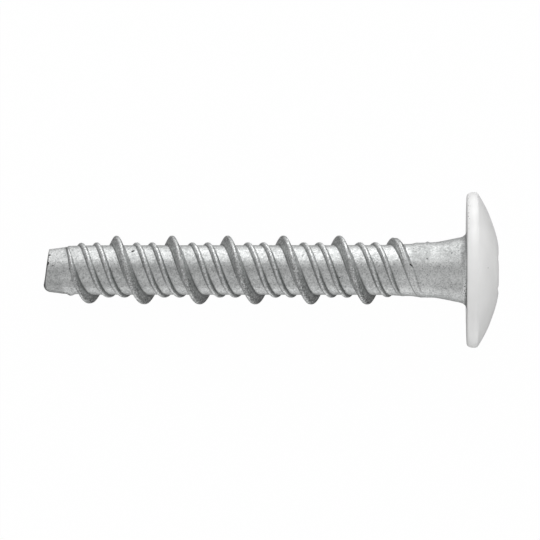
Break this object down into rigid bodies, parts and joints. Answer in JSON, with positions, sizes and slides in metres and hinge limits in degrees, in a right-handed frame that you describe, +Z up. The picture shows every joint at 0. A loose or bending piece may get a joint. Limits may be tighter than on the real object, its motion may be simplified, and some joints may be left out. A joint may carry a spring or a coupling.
{
  "type": "concrete screw",
  "caption": "Self-cutting concrete screw with a coarse high-low thread, a blunt sheared tip, a flared neck and a wide domed pan head with a six-lobed drive recess.",
  "frame": {"origin": "centre of the bounding box's footprint on the floor that the screw lies on", "axes": "+X along the floor from the tip towards the head, +Y across the screw, +Z up; the screw's own axis lies in the XZ plane and rises by 6.7 degrees towards the head, because the head's rim and the thread's first full crest touch the floor"},
  "size_m": [0.054, 0.0184, 0.0183],
  "materials": {
    "galvanised_steel": "dull galvanised zinc, the head painted white"
  },
  "bodies": {
    "root": {"concrete_screw": "galvanised_steel"}
  },
  "joints": []
}
